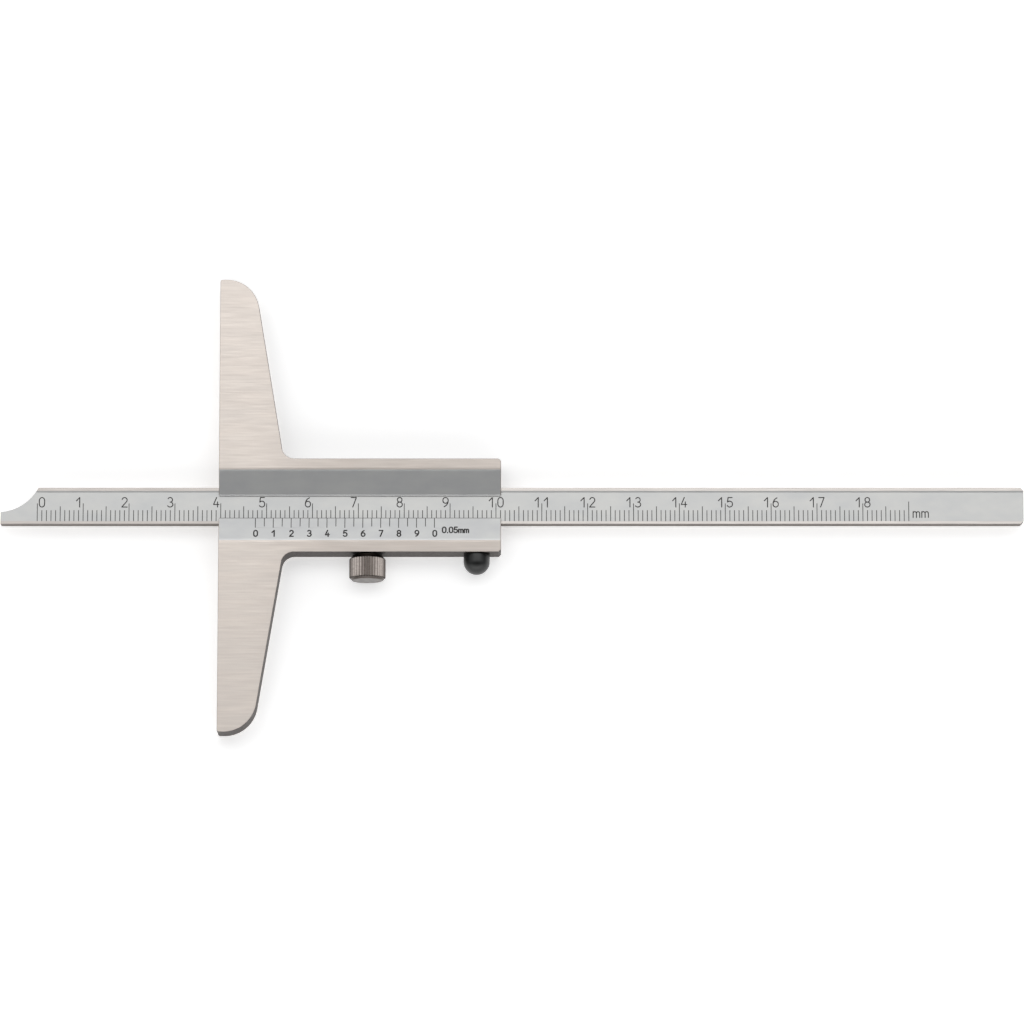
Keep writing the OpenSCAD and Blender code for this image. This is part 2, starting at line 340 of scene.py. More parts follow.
slide_steel = new_material("ground_stainless_slide", ground_stainless(BRIDGE_LIT_TONES, GUIDE_SHADED_TONES))
beam_steel = new_material("ground_stainless_beam", ground_stainless(BEAM_FRONT_SHADED_TONES, BEAM_REAR_LIT_TONES))
print("materials:", slide_steel.name, beam_steel.name)

# %% [markdown]
# Milled stainless steel. The side faces are left as the milling cutter made them. Its marks are
# coarser and cross each other, so the sides look duller than the ground faces, with faint bands
# from one pass of the cutter to the next. Their tones are also painted darker, as painted shade for
# the shadowed floor close by that these faces mirror. The slide's sides carry the deeper painted
# shade. The materials are named for the likely causes, which are guesses: a skin that the hardening
# oven left on the slide, and sides of the beam that the guide has worn clean.

# %% Milled stainless steel
CUTTER_BAND, CUTTER_MARK, PIT = (0.6, 0.6, 2.5), (0.3, 0.3, 1.5), (0.4, 0.4, 0.4)


def milled_stainless(light, dark):
    """Shader inputs of milled steel between a light and a dark tone."""
    def shader_inputs(tree):
        return {
            "Base Color": add_node(tree, "ShaderNodeMix", {
                "Factor": mottle(tree, CUTTER_BAND, 0.0, 1.0), "A": colour(light), "B": colour(dark),
            }, data_type="RGBA"),
            "Metallic": 1.0,
            "Roughness": mottle(tree, PIT, 0.46, 0.56),
            "Normal": add_node(tree, "ShaderNodeBump", {
                "Strength": 0.3, "Distance": 0.01 * MM, "Height": mottle(tree, CUTTER_MARK, 0.0, 1.0),
            }),
        }
    return shader_inputs


# Both tone pairs are painted darker than milled steel is, as painted shade.
slide_sides = new_material("milled_stainless_slide_painted_shade", milled_stainless("#48413D", "#3F3935"))
beam_sides = new_material("milled_stainless_beam_painted_shade", milled_stainless("#78716C", "#6C6761"))
print("materials:", slide_sides.name, beam_sides.name)

# %% [markdown]
# Satin chrome. The scale faces and both slopes of the window are plated and then blasted with fine
# glass beads, so that the lines read without glare. The bead marks point every way, so the sheen is
# even and neutral, a touch cooler than the steel, with a fine grain and no streaks. The beam's plate
# is a little greyer than the slide's, perhaps because it rubs in the guide.

# %% Satin chrome
PLATE_CLOUD, BEAD, BEAD_DENT = (6.0, 3.0, 3.0), (0.12, 0.12, 0.12), (0.15, 0.15, 0.15)


def satin_chrome(light, dark):
    """Shader inputs of a blasted chrome plate between a light and a dark tone."""
    def shader_inputs(tree):
        return {
            "Base Color": add_node(tree, "ShaderNodeMix", {
                "Factor": mottle(tree, PLATE_CLOUD, 0.0, 1.0), "A": colour(light), "B": colour(dark),
            }, data_type="RGBA"),
            "Metallic": 1.0,
            "Roughness": mottle(tree, BEAD, 0.38, 0.46),
            "Normal": add_node(tree, "ShaderNodeBump", {
                "Strength": 0.25, "Distance": 0.004 * MM, "Height": mottle(tree, BEAD_DENT, 0.0, 1.0),
            }),
        }
    return shader_inputs


slide_chrome = new_material("satin_chrome_slide", satin_chrome("#D5D6D5", "#CDCECF"))
beam_chrome = new_material("satin_chrome_beam", satin_chrome("#CACAC8", "#C2C3C3"))
print("materials:", slide_chrome.name, beam_chrome.name)

# %% [markdown]
# Turned steel. The screw's head is knurled on the lathe, and its teeth shade each other. Its steel
# tone is also set darker than the ground steel, as painted shade for the knurl. Fine rings from the
# tool run round its axis, which lies along Y. The collar and the inner bevel are painted nearly
# black, and the end, the outer bevel and the roots of the teeth are painted darker than the rest:
# all painted shade, for the gap under the slide, the hollows and the faces that look down. It is
# drawn as a film of old oil where no thumb wipes, which is a guess. The painted shade is placed by
# the distance to the axis, found from the solid, and by the lengths of head and bevels.

# %% Turned steel
RING = (0.9, 0.12, 0.9)
HEAD_L, BEVEL_IN, BEVEL_OUT, TOOTH_DEPTH = 5.3, 0.65, 0.6, 0.25
# Strengths of the painted shade on the tooth roots, the end and the outer bevel, and its fade.
FADE, ROOT_SHADE, END_SHADE, BEVEL_SHADE = 0.12, 0.24, 0.66, 0.78

screw_low, screw_high = box_mm("clamp_screw")
HEAD_R = (screw_high.x - screw_low.x) / 2
screw_axis = Vector(((screw_low.x + screw_high.x) / 2, 0, (screw_low.z + screw_high.z) / 2)) * MM


def turned_steel(tree):
    """Shader inputs of the screw's steel, with painted shade that darkens its hollows, collar and ends.
    """
    rings = mottle(tree, RING, 0.0, 1.0)
    where = add_node(tree, "ShaderNodeTexCoord").outputs["Object"]
    from_axis = add_node(tree, "ShaderNodeVectorMath", [where, screw_axis], operation="SUBTRACT")
    flat = add_node(tree, "ShaderNodeVectorMath", [from_axis, (1.0, 0.0, 1.0)], operation="MULTIPLY")
    radius = add_node(tree, "ShaderNodeVectorMath", [flat], operation="LENGTH").outputs["Value"]
    along = add_node(tree, "ShaderNodeSeparateXYZ", [where]).outputs["Y"]
    neck, rim, bevel, root = (
        add_node(tree, "ShaderNodeMapRange", {
            "Value": value, "From Min": start * MM, "From Max": end * MM,
            "To Min": least, "To Max": most,
        })
        for value, start, end, least, most in (
            (along, screw_low.y + HEAD_L - BEVEL_IN, screw_low.y + HEAD_L - BEVEL_IN + FADE, 0.0, 1.0),
            (along, screw_low.y + BEVEL_OUT + FADE, screw_low.y + BEVEL_OUT, 0.0, 1.0),
            (radius, HEAD_R - BEVEL_OUT, HEAD_R - BEVEL_OUT + FADE, END_SHADE, BEVEL_SHADE),
            (radius, HEAD_R, HEAD_R - TOOTH_DEPTH, 0.0, ROOT_SHADE),
        )
    )
    outer = add_node(tree, "ShaderNodeMix", {"Factor": rim, "A": root, "B": bevel}, data_type="FLOAT")
    all_painted_shade = add_node(tree, "ShaderNodeMath", [neck, outer], operation="MAXIMUM")
    # These steel tones are set darker than the ground steel, as painted shade for the knurl.
    steel = add_node(tree, "ShaderNodeMix", {
        "Factor": rings, "A": colour("#BAB1AB"), "B": colour("#A09893"),
    }, data_type="RGBA")
    return {
        # The dark brown is painted shade on the collar, inner bevel, end, outer bevel and tooth roots.
        "Base Color": add_node(tree, "ShaderNodeMix", {
            "Factor": all_painted_shade, "A": steel, "B": colour("#2A2420"),
        }, data_type="RGBA"),
        "Metallic": 1.0,
        "Roughness": mottle(tree, RING, 0.26, 0.38),
        "Normal": add_node(tree, "ShaderNodeBump", {
            "Strength": 0.3, "Distance": 0.006 * MM, "Height": rings,
        }),
    }


screw_steel = new_material("turned_and_knurled_steel", turned_steel)
print("material:", screw_steel.name)

# %% [markdown]
# Brass, phenolic and lacquer. The gib is rolled brass, yellow with long rolling marks. The button is
# moulded black phenolic: the gloss of the polished mould, softened by faint flow marks. The lines and
# numbers hold a matt black lacquer, which was wiped off the face around them.

# %% Brass, phenolic and lacquer
ROLLING, FLOW, DRYING = (6.0, 0.2, 0.2), (1.6, 1.6, 1.6), (0.5, 0.5, 0.5)


def rolled_brass(tree):
    """Shader inputs of brass with marks from the rolls."""
    rolling = mottle(tree, ROLLING, 0.0, 1.0)
    return {
        "Base Color": add_node(tree, "ShaderNodeMix", {
            "Factor": rolling, "A": colour("#D8B365"), "B": colour("#B98F45"),
        }, data_type="RGBA"),
        "Metallic": 1.0,
        "Roughness": mottle(tree, ROLLING, 0.28, 0.42),
    }


def moulded_phenolic(tree):
    """Shader inputs of a glossy black moulding with flow marks."""
    flow = mottle(tree, FLOW, 0.0, 1.0)
    return {
        "Base Color": add_node(tree, "ShaderNodeMix", {
            "Factor": flow, "A": colour("#0F1010"), "B": colour("#171818"),
        }, data_type="RGBA"),
        "IOR": 1.55,
        "Roughness": mottle(tree, FLOW, 0.29, 0.37),
        "Normal": add_node(tree, "ShaderNodeBump", {
            "Strength": 0.15, "Distance": 0.01 * MM, "Height": flow,
        }),
    }


def wiped_lacquer(tree):
    """Shader inputs of the matt black filling."""
    return {
        "Base Color": add_node(tree, "ShaderNodeMix", {
            "Factor": mottle(tree, DRYING, 0.0, 1.0), "A": colour("#2B2A29"), "B": colour("#3A3837"),
        }, data_type="RGBA"),
        "Roughness": mottle(tree, DRYING, 0.55, 0.75),
    }


brass = new_material("rolled_brass", rolled_brass)
phenolic = new_material("moulded_black_phenolic", moulded_phenolic)
lacquer = new_material("wiped_black_lacquer", wiped_lacquer)
print("materials:", brass.name, phenolic.name, lacquer.name)

# %% [markdown]
# The slide and the beam are right as solids, but their edges are knife sharp. A real edge is broken
# by a stroke of a stone, about a tenth of a millimetre wide, and that narrow flat catches the light
# and draws the outline of the part. A solid's mesh is loose triangles, so a copy is merged first,
# its flat faces are made whole again, and only the outer edges are bevelled. The fine edges of the
# engraved lines stay as they are.

# %% Helpers for broken edges
FLAT = 0.01
WELD = 0.0005
LARGE_FACE = 30
SHARP, SAME_PLANE = math.radians(30), math.radians(0.2)


def whole_copy(node):
    """A bmesh copy of a solid, with its triangles merged and its flat faces made whole."""
    work = bmesh.new()
    work.from_mesh(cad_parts[node].data)
    bmesh.ops.remove_doubles(work, verts=work.verts, dist=WELD * MM)
    bmesh.ops.dissolve_limit(work, angle_limit=SAME_PLANE, verts=work.verts, edges=work.edges)
    return work


def break_edges(work, width, is_outer, sharper_than=SHARP, segments=2):
    """Bevels the sharp edges for which is_outer is true, given their middle and direction in mm."""
    chosen = []
    for edge in work.edges:
        if len(edge.link_faces) != 2 or edge.calc_face_angle(0) < sharper_than:
            continue
        start, end = (vert.co / MM for vert in edge.verts)
        if is_outer((start + end) / 2, (end - start).normalized()):
            chosen.append(edge)
    bmesh.ops.bevel(
        work, geom=chosen, offset=width * MM, offset_type="OFFSET", segments=segments,
        profile=0.5, affect="EDGES",
    )
    return len(chosen)


def mesh_from(work, name, materials, smooth_angle=12):
    """Turns a bmesh into a mesh that is smooth along its arcs, with large faces truly flat."""
    mesh = bpy.data.meshes.new(name)
    work.to_mesh(mesh)
    work.free()
    for material in materials:
        mesh.materials.append(material)
    mesh.shade_smooth()
    mesh.set_sharp_from_angle(angle=math.radians(smooth_angle))
    for polygon in mesh.polygons:
        if polygon.area > LARGE_FACE * MM ** 2:
            polygon.use_smooth = False
    return mesh


def finished_piece(name, mesh, body, slot, *replaced):
    """Puts a finished mesh in the scene on its body and hides the solids that it stands for; slot is not
    used.
    """
    piece = bpy.data.objects.new(name, mesh)
    bpy.context.scene.collection.objects.link(piece)
    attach(piece, body)
    if replaced:
        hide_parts(*replaced)


print("faces over", LARGE_FACE, "square mm are shaded flat")

# %% [markdown]
# The slide carries three finishes. The slopes of its window and the narrow lip at the foot of the
# upper one are satin chrome, the front, the back and the measuring face are ground, and the other
# sides are milled. The normal of a face tells which it is. The crease between the front and each
# slope looks soft, as if polished over by hand, so it is rounded wide, before the outline gets its
# narrow break. Directions are compared with cosines: past UPRIGHT or EXACT one runs along its axis,
# and the normal of a side face stays within SIDE of level.

# %% Slide
SLIDE_BREAK, CREASE_ROUND = 0.12, 0.45
CREASE = math.radians(10)
WINDOW_REACH, LIP_DROP = 9, 1
UPRIGHT, EXACT, SIDE = 0.9, 0.99, 0.5
STEEPEST_SLOPE, TILT = 0.7, 0.1


def near(value, *limits):
    """True where a coordinate lies on one of the limits."""
    return min(abs(value - limit) for limit in limits) < FLAT


def on_slide_outline(middle, direction):
    """The edges of the front and back faces, the guide's mouths and the upright corners."""
    on_face = near(middle.z, slide_low.z, slide_high.z)
    on_end = near(middle.x, slide_low.x, slide_high.x)
    return on_face or on_end or abs(direction.z) > UPRIGHT


def on_crease(middle, direction):
    """The two long edges where a slope of the window leaves the front face."""
    return abs(middle.y) < WINDOW_REACH and near(middle.z, slide_high.z) and abs(direction.x) > EXACT


def side_or(face, other):
    """Material index 2, milled, for a side face that doesn't measure, and another for the rest."""
    return 2 if abs(face.normal.z) < SIDE and face.normal.x > -UPRIGHT else other


slide_work = whole_copy("slide")
creases = break_edges(slide_work, CREASE_ROUND, on_crease, sharper_than=CREASE, segments=4)
slide_edges = break_edges(slide_work, SLIDE_BREAK, on_slide_outline)
for face in slide_work.faces:
    middle = face.calc_center_median() / MM
    slanted = STEEPEST_SLOPE < face.normal.z < EXACT and abs(face.normal.x) < TILT
    slope = slanted and abs(middle.y) < WINDOW_REACH
    lip = face.normal.z > EXACT and beam_high.z + FLAT < middle.z < slide_high.z - LIP_DROP
    face.material_index = side_or(face, 1 if slope or lip else 0)
slide_mesh = mesh_from(slide_work, "slide_ground", [slide_steel, slide_chrome, slide_sides])
finished_piece("slide_ground", slide_mesh, "slide", "ground_steel", "slide")
print("creases:", creases, "slide edges broken:", slide_edges, "faces:", len(slide_mesh.polygons))

# %% [markdown]
# The beam's rails and back are ground, and its sides are milled. Its sunk scale face, and the small
# bevel beside it, are satin chrome: they look up from below the height of the rails.

# %% Beam
BEAM_BREAK, RAIL_EDGE = 0.08, 0.3


def on_beam_outline(middle, direction):
    """The long outer edges, the outline of the tip and all edges of the rear end."""
    on_face = near(middle.z, beam_low.z, beam_high.z)
    on_side = near(middle.y, beam_low.y, beam_high.y) or near(middle.x, beam_low.x)
    return near(middle.x, beam_high.x) or on_side and (on_face or abs(direction.z) > UPRIGHT)


beam_work = whole_copy("beam")
beam_edges = break_edges(beam_work, BEAM_BREAK, on_beam_outline)
for face in beam_work.faces:
    middle = face.calc_center_median() / MM
    sunk = face.normal.z > SIDE and middle.z < beam_high.z - FLAT
    inside = beam_low.y + RAIL_EDGE < middle.y < beam_high.y - RAIL_EDGE
    face.material_index = side_or(face, 1 if sunk and inside else 0)
beam_mesh = mesh_from(beam_work, "beam_ground", [beam_steel, beam_chrome, beam_sides])
finished_piece("beam_ground", beam_mesh, "beam", "satin_chrome", "beam")
print("beam edges broken:", beam_edges, "faces:", len(beam_mesh.polygons))

# %% [markdown]
# The gib strip is a cut piece of rolled brass with its burrs taken off all round. The fillings of
# the engraved lines are right as they are, so those solids stay and only take the lacquer.

# %% Gib strip and line fillings
GIB_BREAK = 0.06

gib_work = whole_copy("gib_strip")
gib_edges = break_edges(gib_work, GIB_BREAK, lambda middle, direction: True)
finished_piece("gib_brass", mesh_from(gib_work, "gib_brass", [brass]), "gib", "brass", "gib_strip")
for node in ("beam_scale", "vernier_scale"):
    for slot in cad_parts[node].material_slots:
        slot.material = lacquer
print("gib edges broken:", gib_edges)

# %% [markdown]
# Geometry Nodes build what follows a rule. The helpers below start a tree with named inputs, end it,
# run it on a curve, and keep the result as a plain mesh.

# %% Helpers for Geometry Nodes
MERGE = 0.0002


def geometry_tree(name, sizes):
    """A tree that takes a curve and named inputs, given as name: (socket type, default)."""
    tree = bpy.data.node_groups.new(name, "GeometryNodeTree")
    tree.interface.new_socket("Curve", in_out="INPUT", socket_type="NodeSocketGeometry")
    tree.interface.new_socket("Mesh", in_out="OUTPUT", socket_type="NodeSocketGeometry")
    for size, (socket_type, default) in sizes.items():
        socket = tree.interface.new_socket(size, in_out="INPUT", socket_type=socket_type)
        if default is not None:
            socket.default_value = default
    return tree, tree.nodes.new("NodeGroupInput").outputs


def end_tree(tree, geometry, material):
    """Realizes what the tree made, gives it its material and sends it out."""
    real = add_node(tree, "GeometryNodeRealizeInstances", [geometry])
    painted = add_node(tree, "GeometryNodeSetMaterial", {"Geometry": real, "Material": material})
    add_node(tree, "NodeGroupOutput", [painted])


def run_tree(tree, curve, sizes):
    """Runs a tree on a curve with these sizes and returns a plain mesh that faces outwards."""
    holder = bpy.data.objects.new("holder", curve)
    bpy.context.scene.collection.objects.link(holder)
    modifier = holder.modifiers.new("tree", "NODES")
    modifier.node_group = tree
    for item in tree.interface.items_tree:
        if item.in_out == "INPUT" and item.name in sizes:
            modifier[item.identifier] = sizes[item.name]
    evaluated = holder.evaluated_get(bpy.context.evaluated_depsgraph_get())
    mesh = bpy.data.meshes.new_from_object(evaluated)
    holder.modifiers.remove(modifier)
    bpy.data.objects.remove(holder)
    work = bmesh.new()
    work.from_mesh(mesh)
    bmesh.ops.remove_doubles(work, verts=work.verts, dist=MERGE * MM)
    bmesh.ops.recalc_face_normals(work, faces=work.faces)
    work.to_mesh(mesh)
    work.free()
    return mesh


def curve_from(strokes, name):
    """A curve with one open spline for each stroke, a list of points in millimetres."""
    curve = bpy.data.curves.new(name, "CURVE")
    curve.dimensions = "3D"
    for stroke in strokes:
        spline = curve.splines.new("POLY")
        spline.points.add(len(stroke) - 1)
        for point, place in zip(spline.points, stroke):
            point.co = (*(value * MM for value in place), 1)
    return curve


print("points closer than", MERGE, "mm are merged")

# %% [markdown]
# A turned piece is a profile run round an axis. The tree takes the profile as a curve, with the
# radius in X and the height in Z, and wraps a grid round the axis, one row of the grid to a point of
# the profile.

# %% Tree for turned pieces: wrapping a grid
turning, turned = geometry_tree("Turned piece", {
    "Steps round": ("NodeSocketInt", 96),
    "Head from": ("NodeSocketFloat", 1.0),
    "Head radius": ("NodeSocketFloat", 1.0),
    "Teeth": ("NodeSocketInt", 1),
    "Tooth depth": ("NodeSocketFloat", 0.0),
    "Thread to": ("NodeSocketFloat", -1.0),
    "Thread radius": ("NodeSocketFloat", 1.0),
    "Thread pitch": ("NodeSocketFloat", 1.0),
    "Thread depth": ("NodeSocketFloat", 0.0),
    "Material": ("NodeSocketMaterial", None),
})
position = add_node(turning, "GeometryNodeInputPosition")
rows = add_node(turning, "GeometryNodeAttributeDomainSize", [turned["Curve"]], component="CURVE")
columns = add_node(turning, "ShaderNodeMath", [turned["Steps round"], 1.0], operation="ADD")
grid = add_node(turning, "GeometryNodeMeshGrid", [1.0, 1.0, columns, rows])
on_grid = add_node(turning, "ShaderNodeSeparateXYZ", [position]).outputs
share_round = add_node(turning, "ShaderNodeMath", [on_grid["X"], 0.5], operation="ADD")
share_up = add_node(turning, "ShaderNodeMath", [on_grid["Y"], 0.5], operation="ADD")
last_row = add_node(turning, "ShaderNodeMath", [rows, 1.0], operation="SUBTRACT")
row = add_node(turning, "ShaderNodeMath", [share_up, last_row], operation="MULTIPLY")
row_number = add_node(turning, "ShaderNodeMath", [row], operation="ROUND")
profile_point = add_node(
    turning, "GeometryNodeSampleIndex", [turned["Curve"], position, row_number],
    data_type="FLOAT_VECTOR",
)
on_profile = add_node(turning, "ShaderNodeSeparateXYZ", [profile_point]).outputs
print("rows of the grid follow the points of the profile")

# %% [markdown]
# Two rules then cut into the turned shape, as the tools do on a lathe. The knurl is a zigzag round
# the head. The thread is a zigzag that climbs one pitch in a turn. The smaller radius wins, so the
# bevels run out through the teeth as on the real head.

# %% Tree for turned pieces: knurl and thread
teeth_passed = add_node(turning, "ShaderNodeMath", [share_round, turned["Teeth"]], operation="MULTIPLY")
tooth = add_node(turning, "ShaderNodeMath", [teeth_passed, 0.5], operation="PINGPONG")
full_depth = add_node(turning, "ShaderNodeMath", [turned["Tooth depth"], -2.0], operation="MULTIPLY")
knurled = add_node(
    turning, "ShaderNodeMath", [tooth, full_depth, turned["Head radius"]], operation="MULTIPLY_ADD",
)
turns_up = add_node(
    turning, "ShaderNodeMath", [on_profile["Z"], turned["Thread pitch"]], operation="DIVIDE",
)
climb = add_node(turning, "ShaderNodeMath", [turns_up, share_round], operation="SUBTRACT")
groove = add_node(turning, "ShaderNodeMath", [climb, 0.5], operation="PINGPONG")
full_groove = add_node(turning, "ShaderNodeMath", [turned["Thread depth"], -2.0], operation="MULTIPLY")
threaded = add_node(
    turning, "ShaderNodeMath", [groove, full_groove, turned["Thread radius"]], operation="MULTIPLY_ADD",
)
cut_radius = on_profile["X"]
for limit, edge, side in (
    (knurled, turned["Head from"], "GREATER_THAN"), (threaded, turned["Thread to"], "LESS_THAN"),
):
    inside = add_node(turning, "ShaderNodeMath", [on_profile["Z"], edge], operation=side)
    smaller = add_node(turning, "ShaderNodeMath", [cut_radius, limit], operation="MINIMUM")
    cut_radius = add_node(turning, "ShaderNodeMix", [inside, cut_radius, smaller], data_type="FLOAT")
angle = add_node(turning, "ShaderNodeMath", [share_round, 2 * math.pi], operation="MULTIPLY")
waves = [add_node(turning, "ShaderNodeMath", [angle], operation=wave) for wave in ("COSINE", "SINE")]
across, up = (
    add_node(turning, "ShaderNodeMath", [cut_radius, wave], operation="MULTIPLY") for wave in waves
)
place = add_node(turning, "ShaderNodeCombineXYZ", [across, up, on_profile["Z"]])
wrapped = add_node(turning, "GeometryNodeSetPosition", {"Geometry": grid, "Position": place})
end_tree(turning, wrapped, turned["Material"])
print("turning tree has", len(turning.nodes), "nodes")

# %% [markdown]
# The clamp screw has a plain point that sits in the gib's dimple, a fine thread, a collar and the
# knurled head. Its profile has closer rows along the thread and along the two bevels, where the
# rules need points to bend at.

# %% Clamp screw
POINT_R, THREAD_R, COLLAR_R = 1.0, 1.5, 3.3
POINT_L, POINT_BREAK, COLLAR_L = 0.5, 0.2, 0.25
THREAD_PITCH, THREAD_DEPTH, RUN_OUT = 0.5, 0.27, 0.3
TEETH, STEPS_PER_TOOTH, ROWS_PER_PITCH, BEVEL_ROWS = 38, 4, 10, 6
EDGE, HAIR = 0.08, 0.01
SCREW_SMOOTH = 20

screw_l = screw_high.y - screw_low.y
head_z = screw_l - HEAD_L
collar_z = head_z - COLLAR_L


def rows_between(start, end, count):
    """Profile points, each (radius, height), from start to end in even steps."""
    return [tuple(a + (b - a) * i / count for a, b in zip(start, end)) for i in range(count + 1)]


thread_rows = round(collar_z / THREAD_PITCH * ROWS_PER_PITCH)
screw_profile = [
    (0, 0), (POINT_R - POINT_BREAK, 0), (POINT_R, POINT_BREAK), (POINT_R, POINT_L - HAIR),
    (THREAD_R - THREAD_DEPTH, POINT_L),
    *rows_between((THREAD_R, POINT_L + HAIR), (THREAD_R, collar_z - HAIR), thread_rows),
    (THREAD_R, collar_z), (COLLAR_R - EDGE, collar_z), (COLLAR_R, collar_z + EDGE), (COLLAR_R, head_z),
    *rows_between((HEAD_R - BEVEL_IN, head_z + HAIR), (HEAD_R, head_z + BEVEL_IN), BEVEL_ROWS),
    *rows_between((HEAD_R, screw_l - BEVEL_OUT), (HEAD_R - BEVEL_OUT, screw_l), BEVEL_ROWS),
    (THREAD_R, screw_l), (0, screw_l),
]
screw_mesh = run_tree(turning, curve_from([[(r, 0, z) for r, z in screw_profile]], "screw_profile"), {
    "Steps round": TEETH * STEPS_PER_TOOTH,
    "Head from": head_z * MM, "Head radius": HEAD_R * MM,
    "Teeth": TEETH, "Tooth depth": TOOTH_DEPTH * MM,
    "Thread to": (collar_z - RUN_OUT) * MM, "Thread radius": THREAD_R * MM,
    "Thread pitch": THREAD_PITCH * MM, "Thread depth": THREAD_DEPTH * MM,
    "Material": screw_steel,
})


def set_in_slide(mesh, low, high, smooth_angle):
    """Lays a turned mesh along -Y from the top of its solid's box and sharpens its creases."""
    start = Matrix.Translation(Vector(((low.x + high.x) / 2, high.y, (low.z + high.z) / 2)) * MM)
    mesh.transform(start @ Matrix.Rotation(math.radians(90), 4, "X"))
    mesh.shade_smooth()
    mesh.set_sharp_from_angle(angle=math.radians(smooth_angle))


set_in_slide(screw_mesh, screw_low, screw_high, SCREW_SMOOTH)
finished_piece("clamp_screw_turned", screw_mesh, "clamp_screw", "knurled_steel", "clamp_screw")
print("clamp screw faces:", len(screw_mesh.polygons))

# %% [markdown]
# The thumb rest comes off the same tree with no teeth and no thread: a stem in the slide and a
# button with a domed end. The moulded edge at its foot is slightly rounded.

# %% Thumb rest
STEM_R, STEM_L, FOOT_ROUND = 1.25, 3.0, 0.15
REST_STEPS, FOOT_STEPS, DOME_STEPS = 96, 5, 30
DOME_TURN, REST_SMOOTH = 89, 40

rest_low, rest_high = box_mm("thumb_rest")
REST_R = (rest_high.x - rest_low.x) / 2
rest_l = rest_high.y - rest_low.y


def quarter(centre_r, centre_z, radius, start, end, count):
    """Profile points on an arc, from start to end in degrees."""
    turns = [math.radians(start + (end - start) * i / count) for i in range(count + 1)]
    return [(centre_r + radius * math.cos(turn), centre_z + radius * math.sin(turn)) for turn in turns]


rest_profile = [
    (0, 0), (STEM_R, 0), (STEM_R, STEM_L),
    *quarter(REST_R - FOOT_ROUND, STEM_L + FOOT_ROUND, FOOT_ROUND, -90, 0, FOOT_STEPS),
    *quarter(0, rest_l - REST_R, REST_R, 0, DOME_TURN, DOME_STEPS), (0, rest_l),
]
rest_mesh = run_tree(turning, curve_from([[(r, 0, z) for r, z in rest_profile]], "rest_profile"), {
    "Steps round": REST_STEPS, "Material": phenolic,
})
set_in_slide(rest_mesh, rest_low, rest_high, REST_SMOOTH)
finished_piece("thumb_rest_moulded", rest_mesh, "slide", "black_plastic", "thumb_rest")
print("thumb rest faces:", len(rest_mesh.polygons))

# %% [markdown]
# The numbers are engraved with a round-nosed cutter that follows single lines, and then filled with
# lacquer. So each sign is a few strokes of even width with round ends, and not a printed letter.
# The signs are drawn here in units of their own height, from lines and arcs of ellipses. A stroke
# ends at each sharp corner, where the cutter turns.

# %% Signs as strokes
ARC_STEP = 15


def arc(x, y, across, up, start, end):
    """Points on an ellipse round (x, y), from start to end in degrees."""
    count = max(2, round(abs(end - start) / ARC_STEP))
    turns = [math.radians(start + (end - start) * i / count) for i in range(count + 1)]
    return [(x + across * math.cos(turn), y + up * math.sin(turn)) for turn in turns]


SIX = [arc(0.60, 0.30, 0.60, 0.70, 108, 180), arc(0.275, 0.30, 0.275, 0.30, 0, 360)]
SIGNS = {
    "0": [
        arc(0.275, 0.67, 0.275, 0.33, 0, 180) + arc(0.275, 0.33, 0.275, 0.33, 180, 360) + [(0.55, 0.67)],
    ],
    "1": [[(0.05, 0.66), (0.38, 1.0)], [(0.38, 1.0), (0.38, 0.0)]],
    "2": [arc(0.28, 0.73, 0.26, 0.27, 165, -30) + [(0.0, 0.0)], [(0.0, 0.0), (0.55, 0.0)]],
    "3": [arc(0.25, 0.76, 0.24, 0.24, 150, -90), arc(0.25, 0.26, 0.29, 0.26, 90, -150)],
    "4": [[(0.31, 1.0), (0.0, 0.27)], [(0.0, 0.27), (0.56, 0.27)], [(0.41, 0.54), (0.41, 0.0)]],
    "5": [
        [(0.51, 1.0), (0.10, 1.0)], [(0.10, 1.0), (0.04, 0.53)], arc(0.26, 0.31, 0.29, 0.31, 138, -150),
    ],
    "6": SIX,
    "7": [[(0.0, 1.0), (0.54, 1.0)], [(0.54, 1.0), (0.17, 0.0)]],
    "8": [arc(0.275, 0.76, 0.24, 0.24, 90, 450), arc(0.275, 0.26, 0.275, 0.26, 90, 450)],
    "9": [[(0.55 - x, 1.0 - y) for x, y in stroke] for stroke in SIX],
    ".": [[(0.05, 0.0), (0.06, 0.03)]],
    "m": [[(0.0, 0.0), (0.0, 0.61)]] + [
        arc(x + 0.17, 0.43, 0.17, 0.18, 180, 0) + [(x + 0.34, 0.0)] for x in (0.0, 0.34)
    ],
}
WIDTHS = {".": 0.12, "m": 0.68}
SIGN_W, SIGN_GAP = 0.55, 0.22
print("signs:", " ".join(SIGNS))

# %% [markdown]
# The tree sweeps a flat bar along each stroke and puts a round cap on both of its ends. Strokes of
# one sign cross, so each is raised by a thousandth of a millimetre more than the last, and the caps
# are as much thinner. That keeps two faces from lying in the same place, which would flicker.

# %% Tree for engraved strokes
CAP_SIDES = 16

